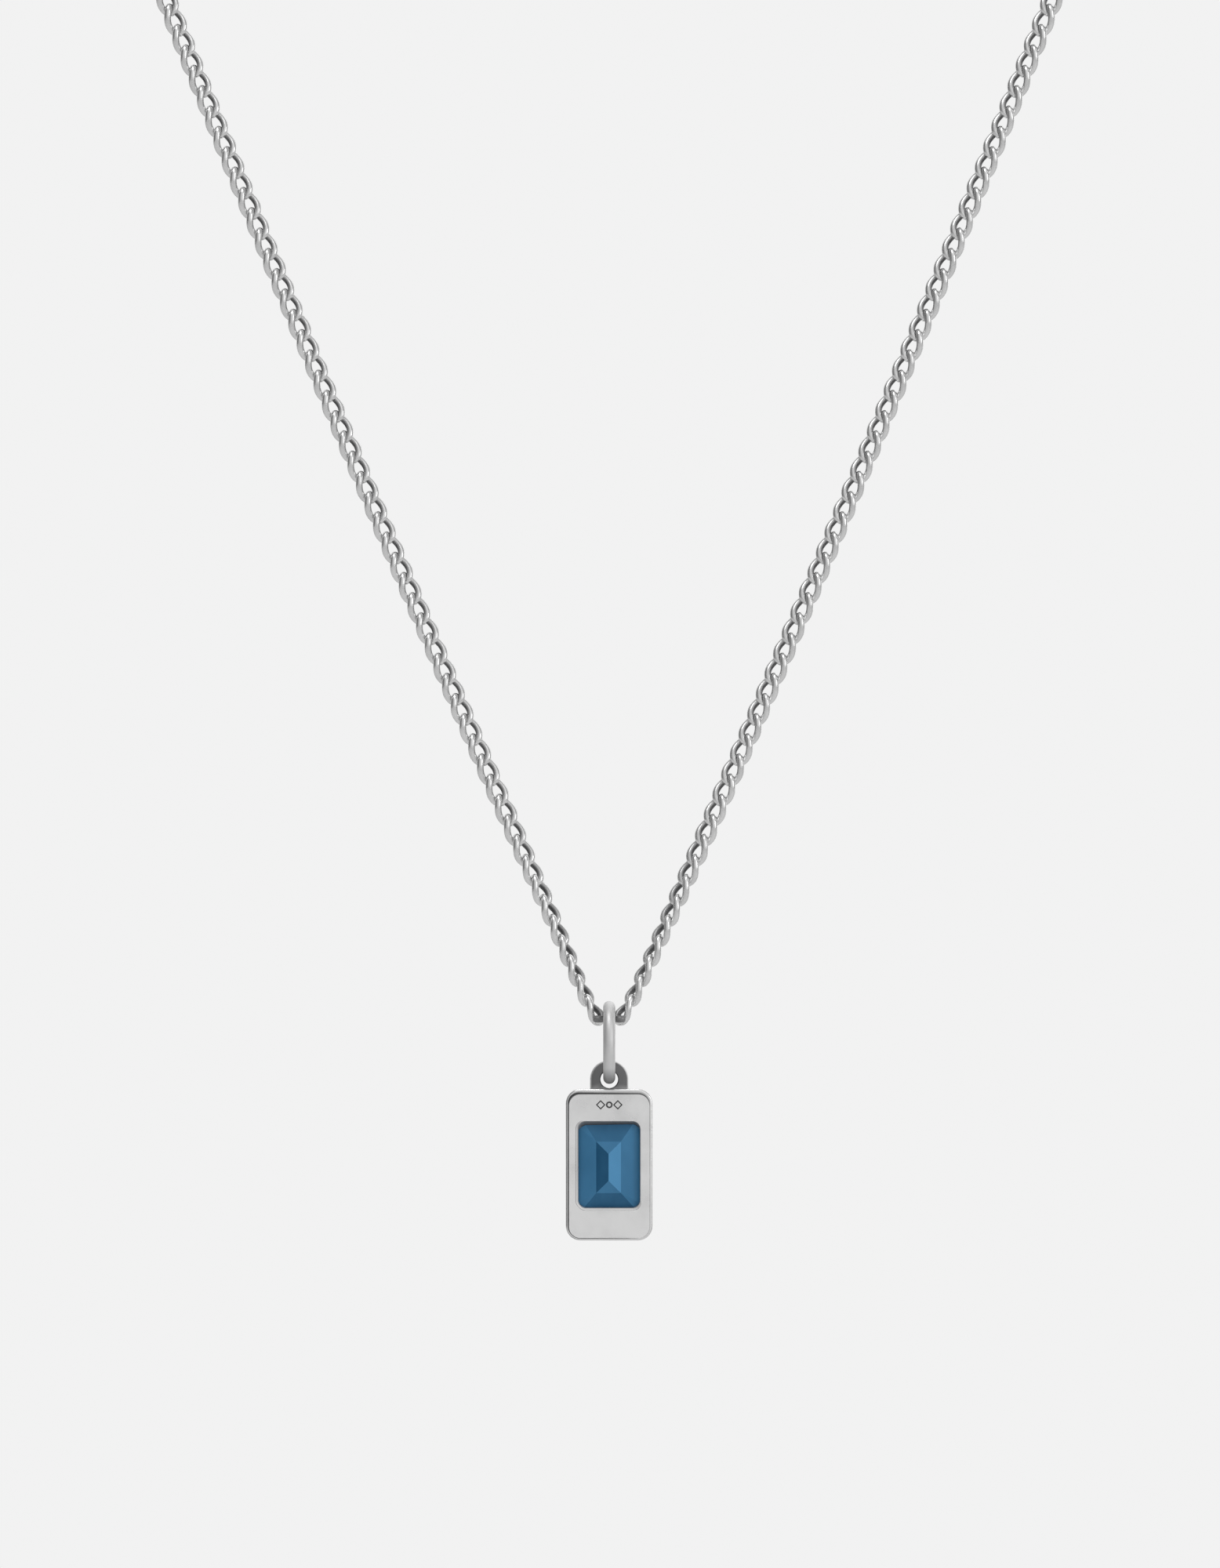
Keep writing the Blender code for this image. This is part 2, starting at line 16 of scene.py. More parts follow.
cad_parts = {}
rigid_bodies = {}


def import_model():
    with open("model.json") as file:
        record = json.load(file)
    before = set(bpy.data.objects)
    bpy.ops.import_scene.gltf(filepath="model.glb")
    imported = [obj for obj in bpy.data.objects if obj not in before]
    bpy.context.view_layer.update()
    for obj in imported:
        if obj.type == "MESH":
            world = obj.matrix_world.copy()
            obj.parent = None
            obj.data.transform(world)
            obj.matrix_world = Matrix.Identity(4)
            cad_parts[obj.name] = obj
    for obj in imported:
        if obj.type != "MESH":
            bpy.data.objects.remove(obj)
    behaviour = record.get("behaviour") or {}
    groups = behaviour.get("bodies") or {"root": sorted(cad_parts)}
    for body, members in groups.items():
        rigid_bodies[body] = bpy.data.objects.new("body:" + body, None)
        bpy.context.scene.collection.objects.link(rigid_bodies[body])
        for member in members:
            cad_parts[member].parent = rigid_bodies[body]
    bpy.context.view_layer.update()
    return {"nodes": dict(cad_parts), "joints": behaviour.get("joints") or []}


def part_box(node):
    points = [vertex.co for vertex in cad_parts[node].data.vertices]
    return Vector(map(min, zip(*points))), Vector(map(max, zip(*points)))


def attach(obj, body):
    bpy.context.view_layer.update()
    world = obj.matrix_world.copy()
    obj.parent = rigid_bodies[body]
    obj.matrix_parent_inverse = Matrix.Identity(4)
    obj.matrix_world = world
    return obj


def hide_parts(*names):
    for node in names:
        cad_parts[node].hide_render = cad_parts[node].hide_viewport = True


MM = 0.001
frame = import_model()
pivots = {joint["name"]: Vector(joint["pos_m"]) / MM for joint in frame["joints"]}

# %% [markdown]
# ## Camera
# A long lens from a metre away shows a small piece with almost no perspective, as a catalogue
# picture of jewellery does. The middle of the chain's lowest link is the point that the pendant
# hangs from, so the view is set out from there.

# %% Camera
DROP_BOTTOM = pivots["ring_swing"]
VIEW_DISTANCE = 1000.0
VIEW_HEIGHT = 142.86
VIEW_RISE = 21.4
VIEW_SHIFT = 0.07
SENSOR = 36.0
NEAR_CLIP = 10.0

camera = bpy.data.objects.new("camera", bpy.data.cameras.new("camera"))
camera.data.sensor_width = SENSOR
camera.data.lens = SENSOR * VIEW_DISTANCE / VIEW_HEIGHT
camera.data.clip_start = NEAR_CLIP * MM
camera.location = (DROP_BOTTOM + Vector((VIEW_SHIFT, -VIEW_DISTANCE, VIEW_RISE))) * MM
camera.rotation_euler = (math.radians(90.0), 0.0, 0.0)
bpy.context.collection.objects.link(camera)
bpy.context.scene.camera = camera
bpy.context.scene.view_settings.view_transform = "Standard"
print("camera lens:", round(camera.data.lens, 1), "mm")

# %% [markdown]
# ## Studio
# Polished silver has hardly a colour of its own: it shows the room. Jewellery is lit inside a
# white tent with dark cards beside it, because the cards draw the dark edge lines that make a
# round wire look round. A sky that gets its brightness from the direction does the work of tent
# and cards. What the lens sees behind the necklace is an even pale grey.

# %% Tent
PALE = 0.887


def add_node(tree, kind, **values):
    """A new node. Values whose names are input sockets set those, and others set properties."""
    node = tree.nodes.new(kind)
    for name, value in values.items():
        if name in node.inputs:
            node.inputs[name].default_value = value
        else:
            setattr(node, name, value)
    return node


def add_ramp(tree, source, stops, interpolation="LINEAR"):
    """A colour ramp with grey or coloured stops, each a place and a colour."""
    node = tree.nodes.new("ShaderNodeValToRGB")
    ramp = node.color_ramp
    ramp.interpolation = interpolation
    while len(ramp.elements) < len(stops):
        ramp.elements.new(0.5)
    for element, (place, colour) in zip(ramp.elements, stops):
        element.position = place
        rgb = colour if isinstance(colour, tuple) else (colour, colour, colour)
        element.color = (*rgb, 1.0)
    tree.links.new(source, node.inputs["Fac"])
    return node.outputs["Color"]


def multiply(tree, first, second):
    """The product of two colours."""
    node = tree.nodes.new("ShaderNodeMix")
    node.data_type = "RGBA"
    node.blend_type = "MULTIPLY"
    node.inputs["Factor"].default_value = 1.0
    tree.links.new(first, node.inputs["A"])
    tree.links.new(second, node.inputs["B"])
    return node.outputs["Result"]


# Each ramp runs over one axis of the direction, from its minus end at 0 to its plus end at 1.
# The lens looks at the back of the pendant, so the first ramp starts at the lens.
BACK_TO_FRONT = (
    (0.0, 0.70),
    (0.15, 0.63),
    (0.32, 0.46),
    (0.48, 0.26),
    (0.57, 0.18),
    (0.64, 0.30),
    (0.74, 0.80),
    (1.0, 0.92),
)
LEFT_TO_RIGHT = ((0.0, 0.40), (0.33, 0.65), (0.5, 1.0), (0.68, 1.05), (1.0, 0.95))
DOWN_TO_UP = ((0.0, 0.55), (0.3, 0.8), (0.5, 1.0), (0.78, 1.1), (1.0, 1.5))

world = bpy.data.worlds.new("tent")
world.use_nodes = True
bpy.context.scene.world = world
tree = world.node_tree
tree.nodes.clear()
place = add_node(tree, "ShaderNodeTexCoord")
half = add_node(tree, "ShaderNodeVectorMath", operation="MULTIPLY_ADD")
half.inputs[1].default_value = (0.5, 0.5, 0.5)
half.inputs[2].default_value = (0.5, 0.5, 0.5)
tree.links.new(place.outputs["Generated"], half.inputs[0])
axes = add_node(tree, "ShaderNodeSeparateXYZ")
tree.links.new(half.outputs["Vector"], axes.inputs["Vector"])
light = add_ramp(tree, axes.outputs["Y"], BACK_TO_FRONT)
light = multiply(tree, light, add_ramp(tree, axes.outputs["X"], LEFT_TO_RIGHT))
light = multiply(tree, light, add_ramp(tree, axes.outputs["Z"], DOWN_TO_UP))
tent = add_node(tree, "ShaderNodeBackground")
tree.links.new(light, tent.inputs["Color"])
wall = add_node(tree, "ShaderNodeBackground", Color=(PALE, PALE, PALE, 1.0))
seen = add_node(tree, "ShaderNodeLightPath")
choice = add_node(tree, "ShaderNodeMixShader")
out = add_node(tree, "ShaderNodeOutputWorld")
tree.links.new(seen.outputs["Is Camera Ray"], choice.inputs["Fac"])
tree.links.new(tent.outputs["Background"], choice.inputs[1])
tree.links.new(wall.outputs["Background"], choice.inputs[2])
tree.links.new(choice.outputs["Shader"], out.inputs["Surface"])
print("tent made")

# %% [markdown]
# ## Softboxes
# Two soft lamps give the tent a direction: a strong one from above and a weaker one from the
# right. A point lamp would leave hard sparks on every link, so both are wide area lights.

# %% Softboxes


def add_softbox(name, offset, size, power):
    """An area light in millimetres, aimed at the pendant."""
    data = bpy.data.lights.new(name, "AREA")
    data.shape = "RECTANGLE"
    data.size, data.size_y = size[0] * MM, size[1] * MM
    data.energy = power
    box = bpy.data.objects.new(name, data)
    box.location = (DROP_BOTTOM + Vector(offset)) * MM
    box.rotation_euler = (-Vector(offset)).to_track_quat("-Z", "Y").to_euler()
    box.visible_camera = False
    bpy.context.collection.objects.link(box)


add_softbox("softbox_above", (-150.0, -250.0, 900.0), (500.0, 400.0), 1.6)
add_softbox("softbox_right", (800.0, -500.0, 250.0), (250.0, 600.0), 1.0)

# %% [markdown]
# ## Floor
# The necklace hangs free, so the floor lies far below it and out of the catalogue view. It is a
# round matt card that sends a little light up from below, and any view from above shows it.

# %% Floor
FLOOR_DEPTH = 480.0
FLOOR_RADIUS = 3000.0
FLOOR_STEPS = 96
CARD_GREY = 0.86
CARD_ROUGH = 0.9
work = bmesh.new()
bmesh.ops.create_circle(work, cap_ends=True, segments=FLOOR_STEPS, radius=FLOOR_RADIUS * MM)
mesh = bpy.data.meshes.new("floor")
work.to_mesh(mesh)
work.free()
floor = bpy.data.objects.new("floor", mesh)
floor.location = (DROP_BOTTOM - Vector((0.0, 0.0, FLOOR_DEPTH))) * MM
bpy.context.collection.objects.link(floor)
card = bpy.data.materials.new("matt_card")
card.use_nodes = True
shader = card.node_tree.nodes["Principled BSDF"]
shader.inputs["Base Color"].default_value = (CARD_GREY, CARD_GREY, CARD_GREY, 1.0)
shader.inputs["Roughness"].default_value = CARD_ROUGH
mesh.materials.append(card)
print("floor at z =", round(floor.location.z / MM, 1), "mm")

# %% [markdown]
# ## Silver
# Cast and drawn silver is never a perfect mirror. Handling leaves fine scratches, and the
# polish is a little cloudy in places. Noise varies the roughness, a stretched noise gives hairline
# scratches as a very small bump, and painted shade darkens the hollows.

# %% Silver finishes


def shader_of(material):
    """The material's node tree and its Principled shader."""
    tree = material.node_tree
    return tree, tree.nodes["Principled BSDF"]


def object_place(tree, scale):
    """The place on the piece in millimetres, multiplied by a scale for each axis."""
    place = add_node(tree, "ShaderNodeTexCoord")
    size = add_node(tree, "ShaderNodeVectorMath", operation="MULTIPLY")
    size.inputs[1].default_value = [part / MM for part in scale]
    tree.links.new(place.outputs["Object"], size.inputs[0])
    return size.outputs["Vector"]


def add_noise(tree, place, scale, detail=3.0):
    """Noise over a place. The scale is how many features it has to the millimetre."""
    noise = add_node(tree, "ShaderNodeTexNoise", Scale=scale, Detail=detail)
    tree.links.new(place, noise.inputs["Vector"])
    return noise.outputs["Fac"]


# The colour of painted shade, a dark, dull skin.
PAINTED_SHADE_COLOUR = (0.055, 0.055, 0.058)
CLOUD_DARK = 0.9
CLOUD_FROM = 0.3
TINT_TO = 0.62
ROUGH_TO = 0.7
SCRATCHES_PER_MM = 6.0
SCRATCH_DETAIL = 5.0
SCRATCH_DEPTH = 0.02


def make_silver(name, colour, rough, cloud, scratch, stretch=(1.0, 1.0, 1.0), shine=1.0):
    """Silver with a cloudy polish between two roughness values, hairline scratches, and painted
    shade where the mesh carries painted shade values, as a dark, dull skin that is no longer a
    metal."""
    material = bpy.data.materials.new(name)
    material.use_nodes = True
    tree, shader = shader_of(material)
    plain = object_place(tree, (1.0, 1.0, 1.0))
    patches = add_noise(tree, plain, cloud)
    dark = tuple(c * CLOUD_DARK for c in colour)
    tint = add_ramp(tree, patches, ((CLOUD_FROM, dark), (TINT_TO, colour)))
    # Painted shade comes from values on the mesh and turns the surface into a dark, dull
    # non-metal.
    shade_paint = add_node(tree, "ShaderNodeAttribute", attribute_name="painted_shade")
    coat = add_node(tree, "ShaderNodeMix", data_type="RGBA")
    tree.links.new(shade_paint.outputs["Fac"], coat.inputs["Factor"])
    tree.links.new(tint, coat.inputs["A"])
    coat.inputs["B"].default_value = (*PAINTED_SHADE_COLOUR, 1.0)
    tree.links.new(coat.outputs["Result"], shader.inputs["Base Color"])
    metal = add_ramp(tree, shade_paint.outputs["Fac"], ((0.0, shine), (1.0, 0.0)))
    tree.links.new(metal, shader.inputs["Metallic"])
    dull = add_ramp(tree, patches, ((CLOUD_FROM, rough[1]), (ROUGH_TO, rough[0])))
    tree.links.new(dull, shader.inputs["Roughness"])
    lines = add_noise(tree, object_place(tree, stretch), SCRATCHES_PER_MM, SCRATCH_DETAIL)
    bump = add_node(tree, "ShaderNodeBump", Strength=scratch, Distance=SCRATCH_DEPTH * MM)
    tree.links.new(lines, bump.inputs["Height"])
    tree.links.new(bump.outputs["Normal"], shader.inputs["Normal"])
    return material


SILVER = (0.87, 0.87, 0.87)
SATIN = (0.84, 0.84, 0.84)
BRIGHT = (0.95, 0.95, 0.95)
link_silver = make_silver("link_silver", BRIGHT, (0.20, 0.32), 0.6, 0.10)
ring_silver = make_silver(
    "ring_silver", SATIN, (0.42, 0.52), 0.5, 0.25, (8.0, 8.0, 0.5), shine=0.6
)
clasp_silver = make_silver("clasp_silver", SILVER, (0.15, 0.26), 0.5, 0.10)
print("finishes:", [m.name for m in bpy.data.materials if "silver" in m.name])

# %% [markdown]
# ## Curb links
# A curb chain is made of equal oval links of round wire. Each link is twisted a quarter turn from
# end to end, so its two ends cross those of its neighbours. A link could be a bent curve with a
# bevel, but a skin of rings along the twisted oval gives the same wire with few faces, and one
# link's points can be set down again all along the chain.

# %% One link
LINK_PITCH = 2.0
WIRE = 0.62
LINK_REACH = (LINK_PITCH + WIRE) / 2.0
LINK_HALF_WIDTH = 0.75
LINK_TWIST = -45.0
LINK_STEPS = 36
WIRE_SIDES = 12


def link_point(turn):
    """A point of the twisted oval: x runs along the chain, z across it and y through it."""
    along = LINK_REACH * math.cos(turn)
    across = LINK_HALF_WIDTH * math.sin(turn)
    angle = math.radians(LINK_TWIST * along / LINK_REACH)
    return Vector((along, across * math.sin(angle), across * math.cos(angle)))


def wire_loops(points, radius, sides):
    """Rings of points round a closed centreline, carried along without twisting."""
    count = len(points)
    tangents = [(points[(i + 1) % count] - points[i - 1]).normalized() for i in range(count)]
    side = tangents[0].orthogonal().normalized()
    carried = []
    for tangent in tangents + tangents[:1]:
        side = (side - tangent * side.dot(tangent)).normalized()
        carried.append(side.copy())
    closing = carried[-1].angle(carried[0])
    if carried[-1].cross(carried[0]).dot(tangents[0]) < 0.0:
        closing = -closing
    loops = []
    for i, tangent in enumerate(tangents):
        first = Matrix.Rotation(closing * i / count, 3, tangent) @ carried[i]
        second = tangent.cross(first)
        turns = [2.0 * math.pi * k / sides for k in range(sides)]
        loops.append(
            [points[i] + (first * math.cos(a) + second * math.sin(a)) * radius for a in turns]
        )
    return loops


def near(value, low, high):
    """0 below low, 1 above high, and a straight line between."""
    return min(1.0, max(0.0, (value - low) / (high - low)))


def link_loops(centreline):
    """The rings of points that make one link's wire, and how far each point faces into the
    link's own hole: 1 is straight in and -1 is straight out."""
    centres = [centreline(2.0 * math.pi * i / LINK_STEPS) for i in range(LINK_STEPS)]
    loops = wire_loops(centres, WIRE / 2.0, WIRE_SIDES)
    facings = []
    for centre, loop in zip(centres, loops):
        inwards = -centre.normalized()
        facings.append([(point - centre).normalized().dot(inwards) for point in loop])
    return loops, facings


def skin(work, loops, shade_paint=None):
    """Adds a skin over a row of equal loops, whose last loop joins the first. The optional amounts
    are painted shade, one for each point."""
    values = work.verts.layers.float
    layer = values.get("painted_shade") or values.new("painted_shade")
    rows = [[work.verts.new(point) for point in loop] for loop in loops]
    if shade_paint:
        for row, amounts in zip(rows, shade_paint):
            for vert, amount in zip(row, amounts):
                vert[layer] = amount
    for low, high in zip(rows, rows[1:] + rows[:1]):
        for i in range(len(low)):
            j = (i + 1) % len(low)
            work.faces.new((low[i], low[j], high[j], high[i]))


def new_object(name, work, material):
    """Turns work in millimetres into an object with one finish."""
    bmesh.ops.recalc_face_normals(work, faces=work.faces)
    bmesh.ops.scale(work, vec=(MM, MM, MM), verts=work.verts)
    mesh = bpy.data.meshes.new(name)
    work.to_mesh(mesh)
    work.free()
    mesh.materials.append(material)
    made = bpy.data.objects.new(name, mesh)
    bpy.context.collection.objects.link(made)
    return made


def settle(piece):
    """Makes what the piece's modifiers show into its own mesh."""
    bpy.context.view_layer.update()
    shown = piece.evaluated_get(bpy.context.evaluated_depsgraph_get())
    mesh = bpy.data.meshes.new_from_object(shown)
    piece.modifiers.clear()
    piece.data = mesh


def finish_piece(name, work, material, body, sharp=180.0):
    """Turns work into a smooth piece that rides on a body. Edges sharper than the angle in
    degrees stay sharp."""
    piece = new_object(name, work, material)
    piece.data.shade_smooth()
    if sharp < 180.0:
        piece.data.set_sharp_from_angle(angle=math.radians(sharp))
    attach(piece, body)
    return piece


curb_link = link_loops(link_point)
print("points in one link:", LINK_STEPS * WIRE_SIDES)

# %% [markdown]
# ## The chain's line
# The two strands of the drop lean out from the lowest link, most of all beside it and a little
# less with height. No chain hangs quite evenly: the left strand is drawn in a hair near the
# ring, and the right one bit by bit on its way up. The neck part then runs as one smooth curve
# round to the clasp. Links sit at even steps along that line, so the line is worked out first
# and the links are threaded on it.

# %% Line of the chain
SECTION_LINKS = 7
DROP_SECTIONS = 8
NECK_SECTIONS = 11
NECK_SECTION_LINKS = 6
LEAN_LOW = 24.1
LEAN_HIGH = 21.7
LEAN_RUN = 100.0
LEAN_KICK = 7.5
LEAN_FADE = 0.25
DRAWN_IN = 0.3
LEFT_DRAWN_IN_LINKS = 5
RIGHT_DRAWN_IN_LINKS = 60
NECK_SIDE_HANDLE = 50.0
NECK_BACK_HANDLE = 54.2
CURVE_STEPS = 400


def drop_path(side):
    """Link joints of one strand, from the lowest link's end to the top of the drop."""
    point = Vector((LINK_PITCH / 2.0, 0.0, 0.0))
    path = [point.copy()]
    for i in range(DROP_SECTIONS * SECTION_LINKS):
        steady = LEAN_LOW + (LEAN_HIGH - LEAN_LOW) * i * LINK_PITCH / LEAN_RUN
        lean = math.radians(steady + LEAN_KICK * LEAN_FADE**i)
        point = point + Vector((math.sin(lean), 0.0, math.cos(lean))) * LINK_PITCH
        path.append(point.copy())
    links = LEFT_DRAWN_IN_LINKS if side < 0 else RIGHT_DRAWN_IN_LINKS
    joints = []
    for i, point in enumerate(path):
        across = point.x - DRAWN_IN * min(1.0, i / links)
        joints.append(DROP_BOTTOM + Vector((side * across, 0.0, point.z)))
    return joints


def even_points(points, count):
    """count + 1 points at even distances along a fine polyline."""
    lengths = [0.0]
    for low, high in zip(points, points[1:]):
        lengths.append(lengths[-1] + (high - low).length)
    even = []
    place = 0
    for i in range(count + 1):
        wanted = lengths[-1] * i / count
        while place < len(points) - 2 and lengths[place + 1] < wanted:
            place += 1
        share = (wanted - lengths[place]) / (lengths[place + 1] - lengths[place])
        even.append(points[place].lerp(points[place + 1], share))
    return even


def neck_path(side, end_x):
    """Joints from the top of the drop round the neck to the clasp's ring at end_x."""
    drop = drop_path(side)
    start = drop[-1]
    start_handle = start + (drop[-1] - drop[-2]).normalized() * NECK_SIDE_HANDLE
    end = Vector((end_x, 0.0, 0.0))
    end_handle = end + Vector((side * NECK_BACK_HANDLE, 0.0, 0.0))
    fine = []
    for i in range(CURVE_STEPS + 1):
        t = i / CURVE_STEPS
        near = start * (1.0 - t) ** 3 + start_handle * (3.0 * t * (1.0 - t) ** 2)
        far = end_handle * (3.0 * t**2 * (1.0 - t)) + end * t**3
        fine.append(near + far)
    return even_points(fine, NECK_SECTIONS * NECK_SECTION_LINKS)


clasp_ring_box, tail_ring_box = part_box("clasp_ring"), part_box("tail_ring")
hook_chain_x = (clasp_ring_box[0].x + clasp_ring_box[1].z - clasp_ring_box[0].z) / MM
tail_chain_x = (tail_ring_box[1].x - tail_ring_box[1].z + tail_ring_box[0].z) / MM
print("chain ends at x =", round(hook_chain_x, 2), "and", round(tail_chain_x, 2), "mm")

# %% [markdown]
# ## Threading the links
# A chain that hangs free turns slowly about its own line. Beside the ring the links lie half
# edge-on, and further up they open towards the viewer. The roll of each link, which grows with
# its height, gives that turn, and the right strand is the mirror of the left.

# %% Threading
ROLL_LOW = -72.0
ROLL_HIGH = -30.0
ROLL_HEIGHT = 24.0
ROLL_END = 45.0
ROLL_END_FROM = 42
# Painted shade inside the links: a link is shaded where it faces into its hole more than this.
HOLLOW_LOW = -0.2
HOLLOW_HIGH = 0.15


def thread(work, link, path, start, count, side, rolls, hollows):
    """Adds count links along the path from joint start, each turned by its own roll. A link gets
    painted shade where it faces into its hole by more than its own hollow value."""
    link_shape, link_facings = link
    for i in range(start, start + count):
        along = (path[i + 1] - path[i]).normalized()
        out = Vector((along.y, -along.x, 0.0)) * side
        out = Vector((0.0, -1.0, 0.0)) if abs(along.y) < 1e-6 else out.normalized()
        across = out.cross(along) * side
        turn = math.radians(rolls(i))
        wide = across * math.cos(turn) + out * math.sin(turn)
        deep = out * math.cos(turn) - across * math.sin(turn)
        middle = (path[i] + path[i + 1]) / 2.0
        loops = [
            [middle + along * p.x + deep * p.y + wide * p.z for p in loop] for loop in link_shape
        ]
        edge = hollows(i)
        shade_paint = [[near(facing, edge, 1.0) for facing in facings] for facings in link_facings]
        skin(work, loops, shade_paint=shade_paint)


def eased(low, high, share):
    """A value that goes from low to high as a share goes from 0 to 1, slowly at both ends."""
    share = min(1.0, max(0.0, share))
    return low + (high - low) * share * share * (3.0 - 2.0 * share)


def drop_roll(i):
    """Roll of the drop's link i, counted from the bottom."""
    return eased(ROLL_LOW, ROLL_HIGH, i * LINK_PITCH / ROLL_HEIGHT)


def drop_hollow(i):
    """Hollow value of the drop's link i, whose painted shade covers more of the link near the
    ring.
    """
    return eased(HOLLOW_LOW, HOLLOW_HIGH, i * LINK_PITCH / ROLL_HEIGHT)


def neck_roll(i):
    """Roll of the neck's link i. The last links turn until the end one stands upright, because
    it grips a ring that lies flat."""
    turning = NECK_SECTIONS * NECK_SECTION_LINKS - ROLL_END_FROM
    return eased(ROLL_HIGH, ROLL_END, (i - ROLL_END_FROM) / turning)


def neck_hollow(i):
    """Hollow value of the neck's links, all the same."""
    return HOLLOW_HIGH


made = 0
for label, side, end_x in (("left", -1, hook_chain_x), ("right", 1, tail_chain_x)):
    drop = drop_path(side)
    for k in range(DROP_SECTIONS):
        work = bmesh.new()
        start = (DROP_SECTIONS - 1 - k) * SECTION_LINKS
        thread(work, curb_link, drop, start, SECTION_LINKS, side, drop_roll, drop_hollow)
        name = f"drop_{label}_{k + 1}"
        piece = finish_piece(f"links_{name}", work, link_silver, f"drop_{k + 1}")
        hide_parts(name)
        made += SECTION_LINKS
    neck = neck_path(side, end_x)
    for k in range(NECK_SECTIONS):
        work = bmesh.new()
        start = k * NECK_SECTION_LINKS
        thread(work, curb_link, neck, start, NECK_SECTION_LINKS, side, neck_roll, neck_hollow)
        name = f"neck_{label}_{k + 1}"
        piece = finish_piece(f"links_{name}", work, link_silver, "neck")
        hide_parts(name)
        made += NECK_SECTION_LINKS
print("links threaded:", made)

# %% [markdown]
# ## The lowest link
# One more link joins the two strands, and the bail ring hangs on it. It lies flat, a quarter
# turn from the links beside it, and it is not twisted. Its two sides are pressed together in
# the middle, so that the ring can swing on them without catching. Painted shade makes it dark
# all over.

# %% Lowest link
LOWEST_MIDDLE = 0.27
LOWEST_FLARE = 1.72
LOWEST_ROLL = 90.0
# Painted shade covers nearly the whole lowest link.
LOWEST_HOLLOW = -6.0


def lowest_point(turn):
    """A point of the lowest link, which is narrow in the middle and wide at both ends."""
    flare = LOWEST_MIDDLE + LOWEST_FLARE * math.cos(turn) ** 2
    return Vector((LINK_REACH * math.cos(turn), 0.0, flare * math.sin(turn)))


def lowest_roll(i):
    """Roll that lays the lowest link flat."""
    return LOWEST_ROLL


def lowest_hollow(i):
    """Hollow value that puts painted shade on nearly the whole link."""
    return LOWEST_HOLLOW


work = bmesh.new()
ends = [DROP_BOTTOM + Vector((x * LINK_PITCH / 2.0, 0.0, 0.0)) for x in (-1.0, 1.0)]
thread(work, link_loops(lowest_point), ends, 0, 1, 1, lowest_roll, lowest_hollow)
piece = finish_piece("link_lowest", work, link_silver, f"drop_{DROP_SECTIONS}")
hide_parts("centre_link")
print("lowest link at z =", round(DROP_BOTTOM.z, 2), "mm")

# %% [markdown]
# ## Bail ring
# The ring is round wire with a satin finish and a soldered joint. A torus from the menu would have
# the same wire all round, while a skin of rings along the circle lets the wire thicken a little
# at the joint, where the solder was filed back.

# %% Bail ring
ring_low, ring_high = (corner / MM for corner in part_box("bail_ring"))
RING_STEPS = 96
RING_SIDES = 28
JOINT_SWELL = 0.03
JOINT_SHARPNESS = 60
RING_JOINT_AT = 20.0
# Painted shade at the bottom of the ring, inside the lug's hole.
RING_SHADE = 0.6
RING_SHADE_FROM = 1.5
RING_SHADE_OVER = 1.2
SIDEWAYS, DEEP, UP = Vector((1, 0, 0)), Vector((0, 1, 0)), Vector((0, 0, 1))


def torus_loops(centre, outer, wire, first, second, swell_at):
    """Rings of points of a round ring in the plane of two directions, a little thicker at the
    angle in degrees where it has its soldered joint."""
    loops = []
    normal = first.cross(second)
    for i in range(RING_STEPS):
        turn = 2.0 * math.pi * i / RING_STEPS
        out = first * math.cos(turn) + second * math.sin(turn)
        close = max(0.0, math.cos(turn - math.radians(swell_at)))
        radius = wire / 2.0 * (1.0 + JOINT_SWELL * close**JOINT_SHARPNESS)
        sides = [2.0 * math.pi * k / RING_SIDES for k in range(RING_SIDES)]
        core = centre + out * ((outer - wire) / 2.0)
        loops.append([core + (out * math.cos(a) + normal * math.sin(a)) * radius for a in sides])
    return loops


def ring_shade_paint(point):
    """Painted shade at the bottom of the ring, where it sits in the lug's hole."""
    edge = ring_low.z + RING_SHADE_FROM
    return RING_SHADE * (1.0 - near(point.z, edge - RING_SHADE_OVER, edge))


work = bmesh.new()
ring_outer = ring_high.z - ring_low.z
ring_wire = ring_high.x - ring_low.x
ring_centre = (ring_low + ring_high) / 2.0
loops = torus_loops(ring_centre, ring_outer, ring_wire, DEEP, UP, RING_JOINT_AT)
shade_paint = [[ring_shade_paint(point) for point in loop] for loop in loops]
skin(work, loops, shade_paint=shade_paint)
piece = finish_piece("bail_ring_wire", work, ring_silver, "bail_ring")
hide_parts("bail_ring")
print("bail ring:", round(ring_outer, 2), "mm outside, wire", round(ring_wire, 2), "mm")

# %% [markdown]
# ## Pendant body
# The body is one casting. Its back has a raised edge, a fine groove inside that edge, a flat
# polished face and a window with a thin chamfer. All of these are rounded rectangles, so the
# body is a skin over a row of such loops, from the ledge that the stone rests on, out over the
# back, round the side and into the pocket at the front. The groove carries painted shade.

# %% Loops of the body
CORNER_STEPS = 10
EDGE_STEPS = 6
BODY_CORNER = 1.35
SIDE_MARGIN = 1.125
END_MARGIN = 2.95
WINDOW_CORNER = 0.72
WINDOW_CHAMFER = 0.22
WINDOW_CHAMFER_DEPTH = 0.05
TOOL_LINE = 0.03
# Painted shade in the thin line beside the chamfer.
CHAMFER_LINE_SHADE = 0.45
WALL_SLOPE = 0.27
WALL_LEAN = 0.06
WALL_SIDE = 0.985
BACK_PLATE = 0.5
STONE_LAP = 0.22
STONE_CLEARANCE = 0.2
STONE_CORNER = 0.55
GROOVE_WIDTH = 0.14
GROOVE_DEPTH = 0.11
EDGE_ROUND = 0.17
FRONT_ROUND = 0.4
FACE_INSET = (0.29, 0.37)
FACE_DROP = 0.14
EDGE_LOWER = 0.03
BODY_HALF_HEIGHT = 6.9
